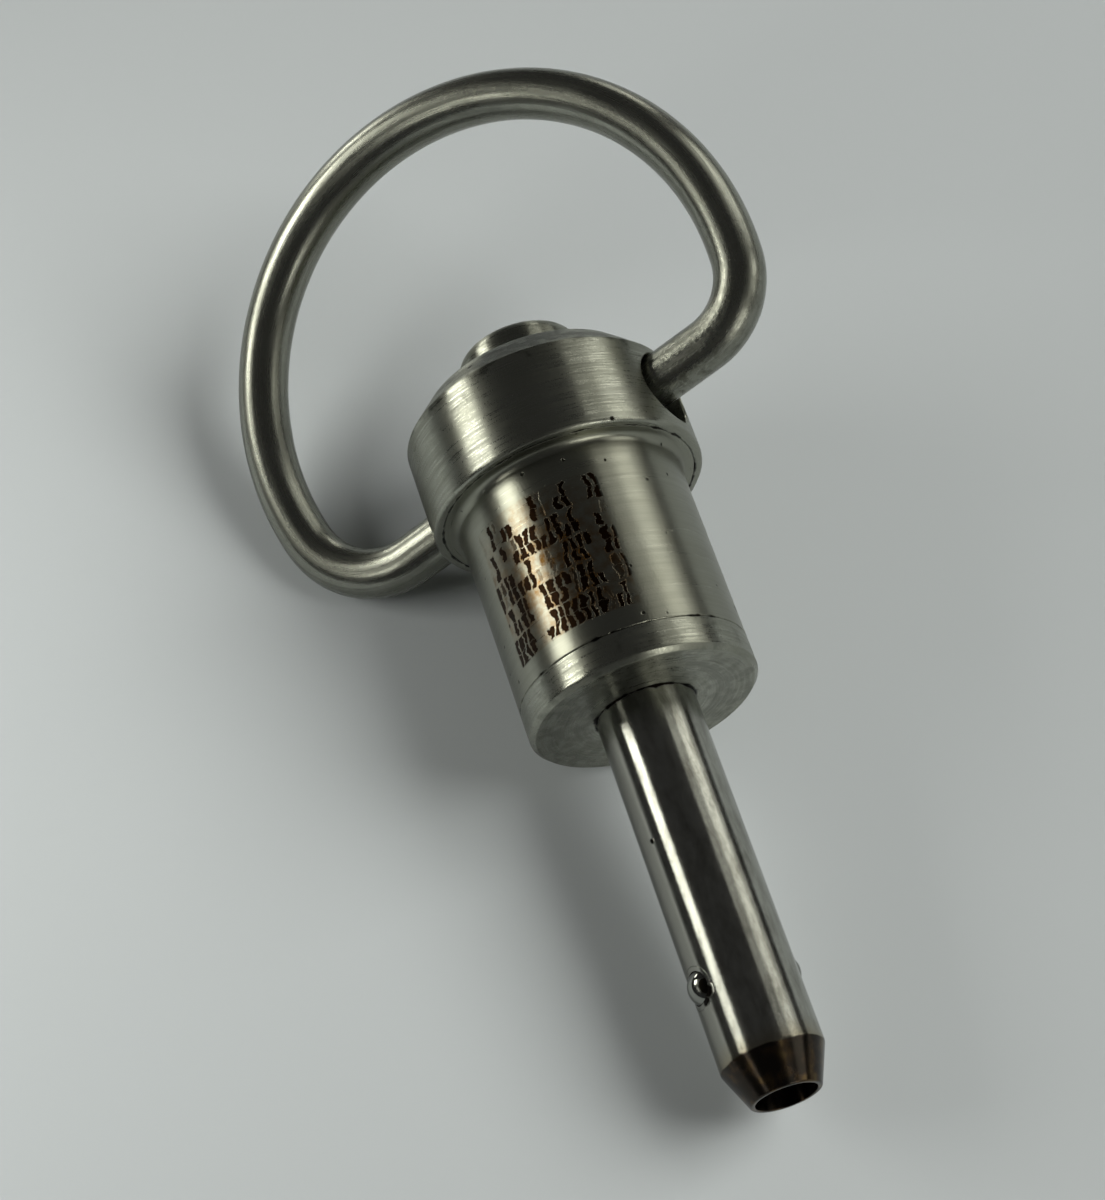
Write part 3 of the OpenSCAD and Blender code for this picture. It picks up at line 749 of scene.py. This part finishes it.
# %% Base cap
FACE_R, CAP_BORE_R = 7.03, 3.195
cap = turned([(CAP_BORE_R, 0), (FACE_R, 0), (SLEEVE_R, SHOULDER_Z), (SLEEVE_R, BAND_TOP),
              (6.2, BAND_TOP), (6.2, 4.62), (5.02, 4.62), (5.02, 2.68), (CAP_BORE_R, 2.68)])
round_rings(cap, (FACE_R, 0, 0.06, 2), (SLEEVE_R, SHOULDER_Z, 0.06, 2),
            (SLEEVE_R, BAND_TOP, 0.1, 3), (CAP_BORE_R, 0, 0.05, 2))
finish_piece(cap, "turned_base_cap", "handle", turned_steel, ["base_cap"], sharp=24)

# %% [markdown]
# The sleeve is a tube with a wide mouth for the base cap and a narrow neck for the collar.
# The fillet under its flange is one wide bevel in eight steps.

# %% Sleeve
FLANGE_R = 8.3
sleeve = turned([(6.22, BAND_TOP), (SLEEVE_R, BAND_TOP), (SLEEVE_R, FLANGE_Z),
                 (FLANGE_R, FLANGE_Z), (FLANGE_R, 16.07), (5.9, 16.07), (5.9, 18.32),
                 (5.05, 18.32), (5.05, 17.13), (4.4, 17.13), (4.4, 4.64), (6.22, 4.64)])
round_rings(sleeve, (SLEEVE_R, BAND_TOP, 0.1, 3), (SLEEVE_R, FLANGE_Z, 0.55, 8),
            (FLANGE_R, FLANGE_Z, 0.06, 2))
finish_piece(sleeve, "marked_sleeve", "handle", sleeve_steel, ["sleeve"])

# %% [markdown]
# ## Collar
# The collar carries the ring in two cross holes. Their edges were broken with a small tool,
# so each has a light rim of the same width all round. The cutter for that is a tube whose
# loops widen near the surface, with each point set by the height of the round wall there.

# %% Collar
HINGE_Z, HOLE_R, TOP_R, BUTTON_HOLE_R = 18.8, 2.45, 7.1, 4.13
collar = turned([(8.32, FLANGE_Z), (COLLAR_R, FLANGE_Z), (COLLAR_R, SIDE_TOP),
                 (TOP_R, COLLAR_TOP), (BUTTON_HOLE_R, COLLAR_TOP), (BUTTON_HOLE_R, 21.43),
                 (5.05, 21.43), (5.05, 18.34), (5.92, 18.34), (5.92, 16.09), (8.32, 16.09)])
round_rings(collar, (COLLAR_R, FLANGE_Z, 0.28, 4), (COLLAR_R, SIDE_TOP, 0.07, 2),
            (TOP_R, COLLAR_TOP, 0.09, 2), (BUTTON_HOLE_R, COLLAR_TOP, 0.2, 3))


def cross_hole(side):
    """A hole with a broken edge, on the side +1 or -1 of the collar."""
    tool = bmesh.new()
    bmesh.ops.create_circle(tool, cap_ends=True, radius=HOLE_R, segments=96, matrix=turn(90, "Y"))
    bmesh.ops.translate(tool, verts=tool.verts, vec=(3.0, 0, 0))
    rim = tool.edges[:]
    for wider, over in ((0, -0.16), (0.05, -0.06), (0.13, 0.01), (0.2, 1.5)):
        made = bmesh.ops.extrude_edge_only(tool, edges=rim)["geom"]
        rim = [g for g in made if isinstance(g, bmesh.types.BMEdge)]
        for v in {v for e in rim for v in e.verts}:
            spread = (HOLE_R + wider) / math.hypot(v.co.y, v.co.z)
            v.co.y, v.co.z = v.co.y * spread, v.co.z * spread
            v.co.x = math.sqrt(COLLAR_R ** 2 - v.co.y ** 2) + over
    bmesh.ops.holes_fill(tool, edges=[e for e in tool.edges if e.is_boundary], sides=0)
    bmesh.ops.recalc_face_normals(tool, faces=tool.faces)
    tool.transform(turn(0 if side > 0 else 180, "Z"))
    bmesh.ops.translate(tool, verts=tool.verts, vec=(0, 0, HINGE_Z))
    return tool


for side in (1, -1):
    collar = cut(collar, cross_hole(side))
finish_piece(collar, "turned_collar", "handle", turned_steel, ["collar"], sharp=28)

# %% [markdown]
# ## Button
# The button is a plain plug with a well rounded edge. Its flange stays inside the collar and
# keeps it in, and the spindle is pressed into its bore. Its profile starts and ends on the
# axis, so it is an open chain, and the spin closes it.

# %% Button
BUTTON_R, BUTTON_TOP = 4.05, 27.18
button = turned([(0, 25.6), (1.29, 25.6), (1.29, 19.93), (4.75, 19.93), (4.75, 21.13),
                 (BUTTON_R, 21.13), (BUTTON_R, BUTTON_TOP), (0, BUTTON_TOP)], closed=False)
round_rings(button, (BUTTON_R, BUTTON_TOP, 1.0, 8))
finish_piece(button, "push_button", "plunger", turned_steel, ["button"])

# %% [markdown]
# ## Pull ring
# The ring is one piece of wire 3.35 mm thick: a straight end, a tight bend, a long round bow,
# a wider bend and the other end. It is drawn flat: one disc is pushed along the straight
# stretches and spun about the centre of each bend, just as a wire bender works. Every loop
# that is made writes its place on the wire into the attribute that the material reads.

# %% The ring's outline
RING_R, RING_OFFSET, WIRE_R, WIRE_END = 17.7, 7.7, 1.675, 6.6
FIRST_BEND_R, SECOND_BEND_R = 4.7, 6.2
ring_place = (Matrix.Translation((-0.3, 0, HINGE_Z)) @ turn(10.7, "X") @ turn(-4.8, "Y")
              @ turn(90, "X"))


def small_bend(bend_r):
    """Where a small bend meets the bow, in degrees about the bow's centre, and its centre."""
    meets = math.asin((bend_r - RING_OFFSET) / (RING_R - bend_r))
    return math.degrees(meets), Vector((math.cos(meets), math.sin(meets), 0)) * (RING_R - bend_r)


first_meets, first_centre = small_bend(FIRST_BEND_R)
second_meets, second_centre = small_bend(SECOND_BEND_R)
bow_centre = Vector((0, RING_OFFSET, 0))
first_centre += bow_centre
second_centre = Vector((-second_centre.x, second_centre.y, 0)) + bow_centre
print(f"the bow turns through {180 - first_meets - second_meets:.1f} degrees")

# %% [markdown]
# The open end of the wire is pushed straight on or spun about a bend's centre, in turn. Both
# helpers note how much wire has gone by, so the pattern runs on through every bend.

# %% Push and spin the wire along it
ring = bmesh.new()
wire = ring.verts.layers.float_vector.new("along_wire")
bmesh.ops.create_circle(ring, cap_ends=True, radius=WIRE_R, segments=48,
                        matrix=Matrix.Translation((WIRE_END, 0, 0)) @ turn(90, "Y"))
length_so_far = 0.0
end = ring.faces[:]


def note_place(verts, outward, length_at):
    """Writes out, sideways and along, in millimetres, for new points of the wire."""
    for v in verts:
        v[wire] = (outward(v.co), v.co.z, length_at(v.co))


note_place(ring.verts, lambda p: -p.y, lambda p: 0.0)


def push_wire(along):
    """Moves the wire's open end straight on."""
    global end, length_so_far
    made = bmesh.ops.extrude_face_region(ring, geom=end)["geom"]
    bmesh.ops.delete(ring, geom=end, context="FACES_ONLY")
    moved = [g for g in made if isinstance(g, bmesh.types.BMVert)]
    bmesh.ops.translate(ring, verts=moved, vec=(along, 0, 0))
    length_so_far += abs(along)
    note_place(moved, lambda p: -p.y, lambda p: length_so_far)
    end = [g for g in made if isinstance(g, bmesh.types.BMFace)]


def spin_wire(centre, radius, degrees, steps):
    """Spins the wire's open end about the centre of a bend."""
    global end, length_so_far
    before = set(ring.verts)
    start = end[0].calc_center_median() - centre
    made = bmesh.ops.spin(ring, geom=end, cent=centre, axis=(0, 0, 1), dvec=(0, 0, 0),
                          angle=math.radians(degrees), steps=steps, use_merge=False,
                          use_duplicate=False)["geom_last"]
    start_at = length_so_far

    def length_at(p):
        swept = math.atan2(start.x * (p - centre).y - start.y * (p - centre).x,
                           start.x * (p - centre).x + start.y * (p - centre).y) % math.tau
        return start_at + swept * radius

    note_place([v for v in ring.verts if v not in before],
               lambda p: (p - centre).xy.length - radius, length_at)
    length_so_far += math.radians(degrees) * radius
    end = [g for g in made if isinstance(g, bmesh.types.BMFace)]


push_wire(first_centre.x - WIRE_END)
spin_wire(first_centre, FIRST_BEND_R, 90 + first_meets, 32)
spin_wire(bow_centre, RING_R, 180 - first_meets - second_meets, 144)
spin_wire(second_centre, SECOND_BEND_R, 90 + second_meets, 36)
push_wire(-WIRE_END - second_centre.x)
print(f"the wire is {length_so_far:.1f} mm long, in {len(ring.faces)} faces")

# %% [markdown]
# The wire was cut at both ends and the cuts were dulled, so each end is closed with a flat
# face and its rim is rounded by 0.25 mm. Then the flat ring is turned to where it hangs.

# %% Close, round and place the ring
bmesh.ops.holes_fill(ring, edges=[e for e in ring.edges if e.is_boundary], sides=0)
bmesh.ops.recalc_face_normals(ring, faces=ring.faces)
rims = [e for e in ring.edges if e.calc_face_angle(0) > 1]
bmesh.ops.bevel(ring, geom=rims, offset=0.25, offset_type="OFFSET", affect="EDGES", segments=3,
                profile=0.5, material=-1)
ring.transform(ring_place)
finish_piece(ring, "pull_ring_wire", "ring", drawn_steel, ["pull_ring"])

# %% [markdown]
# ## The table
# The pin lies on a plain pale table top, painted a cool light grey. It is a large flat sheet
# that sits on no body, so it is no part of the object. A slow, faint change of tone keeps it
# from looking computed.

# %% Table top
table = bmesh.new()
bmesh.ops.create_grid(table, x_segments=1, y_segments=1, size=1.5,
                      matrix=Matrix.Translation((0, 0, table_z)))
table_mesh = bpy.data.meshes.new("table_top")
table.to_mesh(table_mesh)
table.free()
table_top = bpy.data.objects.new("table_top", table_mesh)
bpy.context.scene.collection.objects.link(table_top)

table_paint = bpy.data.materials.new("table_paint_matt")
table_paint.use_nodes = True
paint = table_paint.node_tree.nodes["Principled BSDF"].inputs
paint["Roughness"].default_value = 0.85
paint["Specular IOR Level"].default_value = 0.2
cloud = add(table_paint, "TexNoise", {"Vector": add(table_paint, "TexCoord", out="Object"),
                                      "Scale": 12.0, "Detail": 2})
add(table_paint, "Mix", {0: cloud, 6: "#C7CCC9", 7: "#C3C8C6"}, to="Base Color", **COLOURS)
table_mesh.materials.append(table_paint)
print("table top at", round(table_z * 1000, 2), "mm")

# %% [markdown]
# ## Light
# Two windows light the table: a wide soft one on the right, which gives the deep soft shadow
# on the left, and a nearer, lower one on the left. Polished metal shows its surroundings, so
# what it reflects is set apart from what lights the table: strips at the windows' places are
# seen in the metal alone, and the room is dim. The left strips are the brightest. The parts
# of each window further back or in front of the pin show in its bevels and in the ring.

# %% Lamps for the table and panels for the metal
def panel(name, place, aim, width, height, level, table=True, metal=True):
    """A rectangular lamp of one brightness. Level 1 looks white in a perfect mirror."""
    data = bpy.data.lights.new(name, "AREA")
    data.shape, data.size, data.size_y = "RECTANGLE", width, height
    data.energy = level * math.pi * width * height
    lamp = bpy.data.objects.new(name, data)
    bpy.context.scene.collection.objects.link(lamp)
    lamp.location = place
    lamp.rotation_euler = (Vector(place) - Vector(aim)).to_track_quat("Z", "Y").to_euler()
    lamp.visible_diffuse, lamp.visible_glossy = table, metal
    return lamp


def strip(name, low, high, level, start=-0.42, end=-0.12, distance=0.5):
    """A panel for the metal along the pin, between two angles that count up from the right."""
    middle, spread = math.radians(low + high) / 2, math.radians(high - low) / 2
    x = (start + end) / 2
    place = (x, math.cos(middle) * distance, math.sin(middle) * distance)
    height = 2 * distance * math.tan(spread)
    seen = panel(name, place, (x, 0, 0), end - start, height, level, table=False)
    seen.data.color = linear("#FDFDF3")[:3]


strip("left_window_seen", 140, 159, 7.5, end=-0.155)
strip("left_window_front_part", 142, 151, 3.2, start=0.0, end=0.22)
strip("left_window_back_part", 156, 171, 9.0, start=-1.4, end=-0.75)
strip("right_window_seen", 14, 60, 0.9)
strip("right_window_bright_part", 23, 42, 1.35, distance=0.48)
strip("right_window_front_part", 14, 40, 1.5, start=-0.02, end=0.3)
strip("right_window_back_part", 20, 38, 4.0, start=-1.3, end=-0.75)
strip("front_window_seen", 14, 60, 3.5, start=0.6, end=1.5)
panel("right_window_on_table", (0.155, 0.727, 0.669), (0, 0, 0), 0.75, 0.55, 7.8, metal=False)
panel("left_window_on_table", (-0.03, -0.11, 0.055), (0, 0, 0), 0.08, 0.06, 4.4, metal=False)

room = bpy.data.worlds.new("dim_room")
bpy.context.scene.world = room
room.use_nodes = True
room.node_tree.nodes["Background"].inputs["Color"].default_value = (0.05, 0.05, 0.05, 1)
bpy.context.scene.view_settings.view_transform = "Standard"
